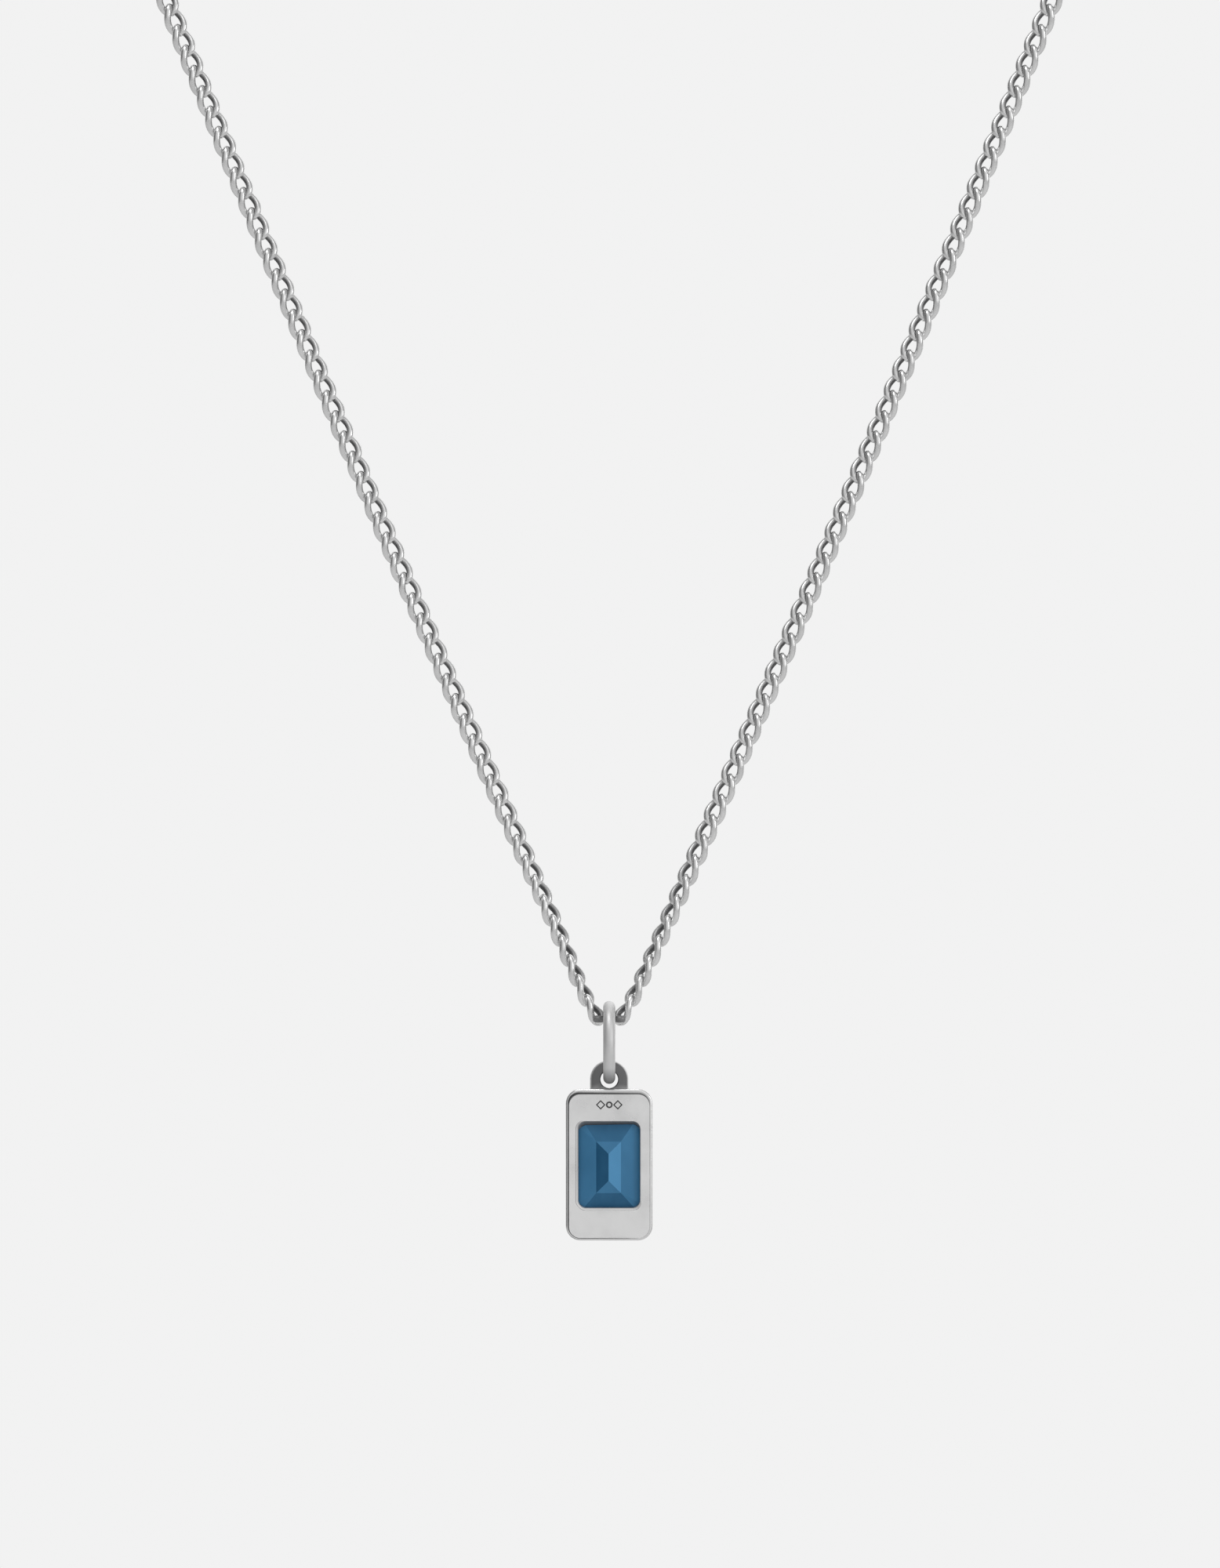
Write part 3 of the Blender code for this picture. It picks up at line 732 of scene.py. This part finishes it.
# How much of the groove and the chamfer each part has, and how sharply the groove turns.
GROOVE_LEAST = 0.35
GROOVE_LEFT = 0.95
GROOVE_TOP = 0.6
GROOVE_TOP_LEFT = 0.65
GROOVE_LOW_LEFT = 0.4
GROOVE_TURN_POWER = 9
CHAMFER_LEAST = 0.2
# Each pair says over which share of the half width or half height a feature fades in.
GROOVE_LEFT_FADE = (0.55, 0.85)
GROOVE_END_FADE = (0.72, 0.92)
WALL_TOP_FADE = (0.72, 0.95)
CHAMFER_LEFT_FADE = (0.74, 0.98)
CHAMFER_LOW_FADE = (0.82, 0.99)

hole_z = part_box("bail_ring")[0].z / MM + ring_wire
body_low, body_high = (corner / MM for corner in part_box("pendant_body"))
BODY_HALF = (body_high.x - body_low.x) / 2.0, BODY_HALF_HEIGHT
BODY_CENTRE = Vector((0.0, DROP_BOTTOM.y, body_low.z + BODY_HALF[1]))
BACK = body_low.y - BODY_CENTRE.y
FRONT = body_high.y - BODY_CENTRE.y
WINDOW = BODY_HALF[0] - SIDE_MARGIN, BODY_HALF[1] - END_MARGIN


def rounded_rectangle(half, corner, y, drop=0.0):
    """A loop round a rectangle with round corners, in the plane at y, moved down by drop."""
    points = []
    for quarter, (side, up) in enumerate(((1, 1), (-1, 1), (-1, -1), (1, -1))):
        for step in range(CORNER_STEPS + 1):
            angle = math.radians(90.0 * (quarter + step / CORNER_STEPS))
            x = side * (half[0] - corner) + corner * math.cos(angle)
            z = up * (half[1] - corner) + corner * math.sin(angle)
            points.append(Vector((x, y, z - drop)))
    return points


def inset_loop(inset, y, drop=0.0):
    """The body's outline moved inwards by a width or by a pair of widths."""
    across, upright = inset if isinstance(inset, tuple) else (inset, inset)
    half = BODY_HALF[0] - across, BODY_HALF[1] - upright
    return rounded_rectangle(half, BODY_CORNER - (across + upright) / 2.0, y, drop)


def window_loop(grow, y):
    """The window's outline, grown outwards."""
    return rounded_rectangle((WINDOW[0] + grow, WINDOW[1] + grow), WINDOW_CORNER + grow, y)


def groove_share(point):
    """How wide and deep the groove is, and how much painted shade it holds: full at the top and
    the left, widest in the left corners, and hardly there at the right and the bottom."""
    left = near(-point.x / BODY_HALF[0], *GROOVE_LEFT_FADE)
    top = near(point.z / BODY_HALF[1], *GROOVE_END_FADE)
    low = near(-point.z / BODY_HALF[1], *GROOVE_END_FADE)
    corners = left * (GROOVE_TOP_LEFT * top + GROOVE_LOW_LEFT * low)
    return GROOVE_LEAST + GROOVE_LEFT * left + GROOVE_TOP * top * (1.0 - left) + corners


def groove_way(point):
    """The way out of the groove. It is straight out along the sides and turns quickly at the
    corners, because a high odd power hides the smaller part and keeps its sign."""
    x = (point.x / BODY_HALF[0]) ** GROOVE_TURN_POWER
    z = (point.z / BODY_HALF[1]) ** GROOVE_TURN_POWER
    return Vector((x, 0.0, z)).normalized()


def ledge_point(point):
    """The window's wall slopes inwards at its top, where it was undercut for the stone."""
    top = near(point.z / WINDOW[1], *WALL_TOP_FADE)
    slope = WALL_SLOPE - WALL_LEAN * point.x / WINDOW[0]
    return Vector((point.x * WALL_SIDE, point.y, point.z * WALL_SIDE - slope * top))


def chamfer_share(point):
    """The chamfer is full at the left and the bottom, and fades out at the other sides."""
    left = near(-point.x / WINDOW[0], *CHAMFER_LEFT_FADE)
    low = near(-point.z / WINDOW[1], *CHAMFER_LOW_FADE)
    return CHAMFER_LEAST + (1.0 - CHAMFER_LEAST) * max(left, low)


ledge = BACK + BACK_PLATE
edge_top = BACK + EDGE_LOWER
face_edge = inset_loop(FACE_INSET, BACK, FACE_DROP)
groove_mid, groove_out = [], []
for point in face_edge:
    share = groove_share(point)
    out = groove_way(point) * GROOVE_WIDTH * share
    groove_mid.append(point + out / 2.0 + Vector((0.0, GROOVE_DEPTH * share, 0.0)))
    groove_out.append(point + out + Vector((0.0, EDGE_LOWER, 0.0)))
chamfer = []
inner = window_loop(0.0, BACK)
for grow, depth in (
    (-WINDOW_CHAMFER, WINDOW_CHAMFER_DEPTH),
    (-TOOL_LINE, TOOL_LINE / 3.0),
    (0.0, TOOL_LINE),
    (TOOL_LINE, 0.0),
):
    outer = window_loop(WINDOW_CHAMFER + grow, BACK)
    loop = []
    for low, high in zip(inner, outer):
        share = chamfer_share(low)
        loop.append(low.lerp(high, share) + Vector((0.0, depth * share, 0.0)))
    chamfer.append(loop)
body_loops = [
    [ledge_point(point) for point in window_loop(0.0, ledge)],
    *chamfer,
    face_edge,
    groove_mid,
    groove_out,
]
for step in range(EDGE_STEPS + 1):
    angle = math.radians(90.0 * step / EDGE_STEPS)
    inset = EDGE_ROUND * (1.0 - math.sin(angle))
    body_loops.append(inset_loop(inset, edge_top + EDGE_ROUND * (1.0 - math.cos(angle))))
for step in range(EDGE_STEPS + 1):
    angle = math.radians(90.0 * step / EDGE_STEPS)
    inset = FRONT_ROUND * (1.0 - math.cos(angle))
    body_loops.append(inset_loop(inset, FRONT - FRONT_ROUND * (1.0 - math.sin(angle))))
pocket = tuple(side + STONE_LAP + STONE_CLEARANCE for side in WINDOW)
for y in (FRONT, ledge):
    body_loops.append(rounded_rectangle(pocket, STONE_CORNER + STONE_CLEARANCE, y))
print("body:", round(2 * BODY_HALF[0], 2), "by", round(2 * BODY_HALF[1], 2), "mm")

# %% [markdown]
# ## Painted shade of the body
# Shade is painted into the groove, onto the window's wall, into the thin line beside the chamfer
# and onto the ledge under the stone. A painted picture could carry it, but a value at each point
# of the skin needs no picture and follows the shape.

# %% Painted shade of the body
# The places of the dark loops in the row that makes the body.
WALL_LOOP, WALL_EDGE_LOOP, TOOL_LOOP, GROOVE_LOOP, GROOVE_EDGE_LOOP, LEDGE_LOOP = 0, 1, 3, 6, 7, -1
# Painted shade in the groove and along its outer edge.
GROOVE_SHADE_GAIN = 1.3
GROOVE_SHADE_OFF = 0.4
GROOVE_SHADE_LEAST = 0.1
GROOVE_EDGE_SHADE = 0.6
# Painted shadow on the window's wall, darkest at its top.
WALL_SHADE = 0.5
WALL_SHADE_FADE = (0.6, 0.9)
WALL_EDGE_SHADE = 0.7
# Painted shade on the ledge under the stone.
LEDGE_SHADE = 0.8


def groove_painted_shade(point):
    """The groove's painted shade is darkest where the groove is deepest."""
    amount = GROOVE_SHADE_GAIN * groove_share(point) - GROOVE_SHADE_OFF
    return min(1.0, max(GROOVE_SHADE_LEAST, amount))


def wall_painted_shade(point):
    """The window's wall carries painted shadow, darkest at its top."""
    return WALL_SHADE + (1.0 - WALL_SHADE) * near(point.z / WINDOW[1], *WALL_SHADE_FADE)


# Painted shade on the body's dark loops, and none elsewhere.
body_shade_paint = [[0.0] * len(loop) for loop in body_loops]
body_shade_paint[WALL_LOOP] = [wall_painted_shade(point) for point in body_loops[WALL_LOOP]]
body_shade_paint[WALL_EDGE_LOOP] = [
    WALL_EDGE_SHADE * wall_painted_shade(point) for point in body_loops[WALL_EDGE_LOOP]
]
# A line of painted shade beside the chamfer, full where the chamfer is.
body_shade_paint[TOOL_LOOP] = [CHAMFER_LINE_SHADE * chamfer_share(point) for point in inner]
groove_shade_paint = [groove_painted_shade(point) for point in body_loops[GROOVE_LOOP]]
body_shade_paint[GROOVE_LOOP] = groove_shade_paint
body_shade_paint[GROOVE_EDGE_LOOP] = [GROOVE_EDGE_SHADE * amount for amount in groove_shade_paint]
body_shade_paint[LEDGE_LOOP] = [LEDGE_SHADE] * len(body_loops[LEDGE_LOOP])
print("groove tarnish from", round(min(groove_shade_paint), 2), "to", round(max(groove_shade_paint), 2))

# %% [markdown]
# ## Struck marks
# A hallmark is struck into the face with small hard punches: here a lozenge, a ring and a
# lozenge, in thin lines. Bands laid on the face would stand proud of it, so the casting is cut
# with the shape of each punch instead. A cut takes its finish from the punch, which gives the
# struck lines their dark bottom.

# %% Body with its struck marks
MARK_DEPTH = 0.05
MARK_LINE = 0.15
MARK_PITCH = 0.78
MARK_BELOW_TOP = 1.45
LOZENGE = 0.44
LOZENGE_CORNERS = 4
ROUND_MARK = 0.31
ROUND_STEPS = 24
CASTING_SHARP = 24.0

mark_dark = make_silver("struck_line", (0.22, 0.22, 0.22), (0.4, 0.5), 0.8, 0.1)
plate_silver = make_silver("plate_silver", BRIGHT, (0.20, 0.30), 0.35, 0.05, (6.0, 6.0, 0.4))


def punch(centre, radius, corners):
    """A closed band in the shape of a lozenge or a ring, as deep as a struck line."""
    loops = []
    for reach, y in (
        (radius, -MARK_DEPTH),
        (radius, MARK_DEPTH),
        (radius - MARK_LINE, MARK_DEPTH),
        (radius - MARK_LINE, -MARK_DEPTH),
    ):
        turns = [2.0 * math.pi * k / corners for k in range(corners)]
        loops.append(
            [centre + Vector((reach * math.cos(a), y, reach * math.sin(a))) for a in turns]
        )
    work = bmesh.new()
    skin(work, loops)
    return new_object("punch", work, mark_dark)


work = bmesh.new()
moved = [[BODY_CENTRE + point for point in loop] for loop in body_loops]
skin(work, moved, shade_paint=body_shade_paint)
casting = new_object("pendant_casting", work, plate_silver)
mark_centre = BODY_CENTRE + Vector((0.0, BACK, BODY_HALF[1] - MARK_BELOW_TOP))
punches = []
for place, radius, corners in (
    (-1, LOZENGE, LOZENGE_CORNERS),
    (0, ROUND_MARK, ROUND_STEPS),
    (1, LOZENGE, LOZENGE_CORNERS),
):
    tool = punch(mark_centre + SIDEWAYS * (place * MARK_PITCH), radius, corners)
    cut = casting.modifiers.new("mark", "BOOLEAN")
    cut.operation = "DIFFERENCE"
    cut.solver = "EXACT"
    cut.material_mode = "TRANSFER"
    cut.object = tool
    punches.append(tool)
settle(casting)
for tool in punches:
    bpy.data.objects.remove(tool)
struck = casting.data
struck.shade_smooth()
struck.set_sharp_from_angle(angle=math.radians(CASTING_SHARP))
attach(casting, "pendant")
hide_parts("pendant_body")
print("casting has", len(struck.polygons), "faces and", len(struck.materials), "finishes")

# %% [markdown]
# ## Lug
# The half-round lug on top of the body has a drilled hole for the bail ring. It is a flat piece
# with softened edges, so the same kind of skin makes it: loops round the hole, over the face,
# round the edge and back through the hole. Its hole is black with painted shade, its faces are
# painted dark, and only its edge is bright.

# %% Lug
LUG_STEPS = 64
LUG_RADIUS = 1.75
LUG_HALF = 0.6
LUG_EDGE = 0.16
HOLE_RADIUS = 0.85
HOLE_WALL = 0.05
HOLE_EDGE = 0.09
LUG_HANG = 0.18
LUG_KNEE = 0.3
LUG_SHARP = 40.0
FOOT = 1.5
# The lug's painted darkness is lighter towards the foot.
FOOT_PAINTED_DARK = 0.45
FOOT_FADE = (-1.1, -0.55)
hole_centre = Vector((0.0, DROP_BOTTOM.y, hole_z + LUG_HANG - HOLE_RADIUS))


def lug_outline(inset, y):
    """The lug's outline: a half circle above the hole's centre and a square foot below."""
    points = []
    reach = LUG_RADIUS - inset
    for k in range(LUG_STEPS):
        turn = 2.0 * math.pi * k / LUG_STEPS
        x, z = math.cos(turn), math.sin(turn)
        if z < 0.0:
            stretch = min(reach / max(abs(x), 1e-6), FOOT / abs(z))
        else:
            stretch = reach
        points.append(Vector((x * stretch, y, z * stretch)))
    return points


def hole_loop(grow, y):
    """The hole's outline, with the same number of points."""
    turns = [2.0 * math.pi * k / LUG_STEPS for k in range(LUG_STEPS)]
    reach = HOLE_RADIUS - HOLE_WALL + grow
    return [Vector((reach * math.cos(a), y, reach * math.sin(a))) for a in turns]


lug_loops = [
    hole_loop(0.0, HOLE_EDGE - LUG_HALF),
    hole_loop(HOLE_EDGE, -LUG_HALF),
    lug_outline(LUG_EDGE, -LUG_HALF),
    lug_outline(LUG_EDGE * LUG_KNEE, LUG_EDGE * LUG_KNEE - LUG_HALF),
    lug_outline(0.0, LUG_EDGE - LUG_HALF),
    lug_outline(0.0, LUG_HALF - LUG_EDGE),
    lug_outline(LUG_EDGE * LUG_KNEE, LUG_HALF - LUG_EDGE * LUG_KNEE),
    lug_outline(LUG_EDGE, LUG_HALF),
    hole_loop(HOLE_EDGE, LUG_HALF),
    hole_loop(0.0, LUG_HALF - HOLE_EDGE),
]
# One amount of painted darkness for each of those loops: painted shade makes the hole black,
# the faces are painted dark and the edge stays bright.
LUG_PAINTED_DARK = (1.0, 0.85, 0.85, 0.1, 0.0, 0.0, 0.1, 0.85, 0.85, 1.0)


def lug_painted_dark(amount, point):
    """Painted darkness that grows lighter towards the foot."""
    return amount * (FOOT_PAINTED_DARK + (1.0 - FOOT_PAINTED_DARK) * near(point.z, *FOOT_FADE))


work = bmesh.new()
shade_paint = [[lug_painted_dark(a, point) for point in loop] for a, loop in zip(LUG_PAINTED_DARK, lug_loops)]
skin(work, [[hole_centre + point for point in loop] for loop in lug_loops], shade_paint=shade_paint)
lug = finish_piece("pendant_lug", work, plate_silver, "pendant", sharp=LUG_SHARP)
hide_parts("pendant_body")
print("hole centre at z =", round(hole_centre.z, 2), "mm")

# %% [markdown]
# ## Finish of the stone
# Light that goes in through the stone's front comes back by another way from each facet, so each
# facet has its own even tone. A clear glass would show the room behind instead, so each facet
# carries its own tone as a value on the mesh, under a clear and very smooth surface.

# %% Stone finish
STONE_DEEP = (0.005, 0.075, 0.17)
STONE_BRIGHT = (0.16, 0.50, 0.88)
STONE_ROUGH = 0.06
STONE_IOR = 1.3
HAZE_SCALE = 0.5
HAZE_DETAIL = 2.0
HAZE_SWAY = 0.2
stone_blue = bpy.data.materials.new("stone_blue")
stone_blue.use_nodes = True
tree, shader = shader_of(stone_blue)
shader.inputs["Roughness"].default_value = STONE_ROUGH
shader.inputs["IOR"].default_value = STONE_IOR
tone = add_node(tree, "ShaderNodeAttribute", attribute_name="tone")
haze = add_noise(tree, object_place(tree, (1.0, 1.0, 0.6)), HAZE_SCALE, HAZE_DETAIL)
sway = add_node(tree, "ShaderNodeMath", operation="MULTIPLY_ADD")
sway.inputs[1].default_value = HAZE_SWAY
sway.inputs[2].default_value = -HAZE_SWAY / 2.0
tree.links.new(haze, sway.inputs[0])
total = add_node(tree, "ShaderNodeMath", operation="ADD")
tree.links.new(tone.outputs["Fac"], total.inputs[0])
tree.links.new(sway.outputs["Value"], total.inputs[1])
blue = add_ramp(tree, total.outputs["Value"], ((0.0, STONE_DEEP), (1.0, STONE_BRIGHT)))
tree.links.new(blue, shader.inputs["Base Color"])
print("stone finish made")

# %% [markdown]
# ## Stone
# The stone is a step cut seen from below: four long slopes meet a smaller roof with a ridge in
# the middle. Such a stone has no hollows. Its corners are all that has to be placed, and the
# tightest skin round them gives every facet.

# %% Stone
SEAT_GAP = 0.15
GIRDLE = 0.3
STEP_HALF = (1.125, 2.34)
KEEL_HALF = 1.225
STEP_RISE = 0.62
ROOF_SHIFT = (-0.06, -0.24)
KEEL_RISE = 0.2
CROWN_STEP_INSET = 0.55
CROWN_STEP_RISE = 0.75
TABLE_INSET = 1.25
TABLE_RISE = 1.45
FLAT_ENOUGH = 0.01
# The painted light of the facets that the back shows: the roof's are the inner ones.
STEEP = 0.24
INNER_LEFT, INNER_RIGHT, INNER_TOP, INNER_LOW = 0.04, 0.66, 0.37, 0.37
OUTER_LEFT, OUTER_RIGHT, OUTER_TOP, OUTER_LOW = 0.36, 0.38, 0.20, 0.18
# The crown at the front has a middle painted light that grows to the right and to the top.
CROWN_PAINTED_LIGHT, CROWN_TO_RIGHT, CROWN_TO_TOP = 0.30, 0.35, 0.25
CROWN_FROM = -0.5
ONE_WAY = 3.0
stone_half = tuple(side + STONE_LAP for side in WINDOW)
seat = ledge + SEAT_GAP


def cut_rectangle(half, corner, y):
    """Eight points round a rectangle with cut corners."""
    points = []
    for side, up, flip in ((1, 1, 0), (-1, 1, 1), (-1, -1, 0), (1, -1, 1)):
        pair = [
            Vector((side * half[0], y, up * (half[1] - corner))),
            Vector((side * (half[0] - corner), y, up * half[1])),
        ]
        points += pair[::-1] if flip else pair
    return points


def facet_painted_light(face):
    """The painted light of a facet, a tone from the way it faces."""
    normal = face.normal
    if normal.y > CROWN_FROM:
        return CROWN_PAINTED_LIGHT + CROWN_TO_RIGHT * normal.x + CROWN_TO_TOP * normal.z
    inner = abs(normal.x) + abs(normal.z) < STEEP
    if abs(normal.z) > ONE_WAY * abs(normal.x):
        if inner:
            return INNER_TOP if normal.z > 0.0 else INNER_LOW
        return OUTER_TOP if normal.z > 0.0 else OUTER_LOW
    if inner and abs(normal.x) > ONE_WAY * abs(normal.z):
        return INNER_RIGHT if normal.x > 0.0 else INNER_LEFT
    return OUTER_RIGHT if normal.x > 0.0 else OUTER_LEFT


work = bmesh.new()
levels = [
    cut_rectangle(stone_half, STONE_CORNER, seat),
    cut_rectangle(stone_half, STONE_CORNER, seat + GIRDLE),
]
for inset, rise in ((CROWN_STEP_INSET, CROWN_STEP_RISE), (TABLE_INSET, TABLE_RISE)):
    half = tuple(side - inset for side in stone_half)
    corner = STONE_CORNER * (1.0 - inset / stone_half[0])
    levels.append(cut_rectangle(half, corner, seat + GIRDLE + rise))
for level in levels:
    for point in level:
        work.verts.new(BODY_CENTRE + point)
roof_centre = BODY_CENTRE + Vector((ROOF_SHIFT[0], seat - STEP_RISE, ROOF_SHIFT[1]))
for side in (-1, 1):
    for up in (-1, 1):
        work.verts.new(roof_centre + Vector((side * STEP_HALF[0], 0.0, up * STEP_HALF[1])))
for up in (-1, 1):
    work.verts.new(roof_centre + Vector((0.0, -KEEL_RISE, up * KEEL_HALF)))
bmesh.ops.convex_hull(work, input=work.verts)
bmesh.ops.dissolve_limit(work, angle_limit=FLAT_ENOUGH, verts=work.verts, edges=work.edges)
bmesh.ops.recalc_face_normals(work, faces=work.faces)
layer = work.faces.layers.float.new("tone")
for face in work.faces:
    face.normal_update()
    face[layer] = facet_painted_light(face)
stone = finish_piece("stone_cut", work, stone_blue, "pendant")
stone.data.shade_flat()
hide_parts("gemstone")
print("facets:", len(stone.data.polygons))

# %% [markdown]
# ## Collar
# The collar that holds the stone in from the front is hardly seen. It keeps its measured shape
# and takes the same silver as the clasp.

# %% Collar


def polish(piece, material):
    """Gives a piece one finish in place of its old ones."""
    piece.data.materials.clear()
    piece.data.materials.append(material)


polish(frame["nodes"]["stone_collar"], clasp_silver)
print("collar finished")

# %% [markdown]
# ## Clasp
# The measured clasp has crisp edges, as a drawing has. A real one is cast and tumbled in a
# barrel until it is soft to the touch. A fine remesh of a copy, smoothed a little, does the
# tumbling: it rounds each edge and leaves the sizes as they are.

# %% Tumbled clasp
TUMBLE_GRAIN = 0.05
TUMBLE_ROUNDS = 14
TUMBLE_STRENGTH = 0.6


def tumble(name, node, material, body):
    """A softened copy of a measured piece, which stands for it."""
    copy = bpy.data.objects.new(name, frame["nodes"][node].data.copy())
    bpy.context.collection.objects.link(copy)
    grain = copy.modifiers.new("grain", "REMESH")
    grain.mode = "VOXEL"
    grain.voxel_size = TUMBLE_GRAIN * MM
    soften = copy.modifiers.new("soften", "SMOOTH")
    soften.iterations = TUMBLE_ROUNDS
    soften.factor = TUMBLE_STRENGTH
    settle(copy)
    polish(copy, material)
    copy.data.shade_smooth()
    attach(copy, body)
    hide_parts(node)
    print(name, "has", len(copy.data.polygons), "faces")


tumble("clasp_hook", "clasp_body", clasp_silver, "clasp")
tumble("clasp_trigger", "clasp_lever", clasp_silver, "lever")
for node in ("clasp_pin", "clasp_spring"):
    polish(frame["nodes"][node], clasp_silver)

# %% [markdown]
# ## Clasp rings
# The hook catches one ring, and another ties the clasp's eye to the chain. Both are round wire
# closed with solder, like the bail ring, and the same kind of skin makes them.

# %% Clasp rings
CLASP_JOINT_AT = 100.0
for node in ("clasp_ring", "tail_ring"):
    low, high = (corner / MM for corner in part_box(node))
    work = bmesh.new()
    centre, outer, wire = (low + high) / 2.0, high.x - low.x, high.z - low.z
    skin(work, torus_loops(centre, outer, wire, SIDEWAYS, DEEP, CLASP_JOINT_AT))
    piece = finish_piece(f"{node}_wire", work, clasp_silver, "neck")
    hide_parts(node)
    print(node, round(high.x - low.x, 2), "mm outside")
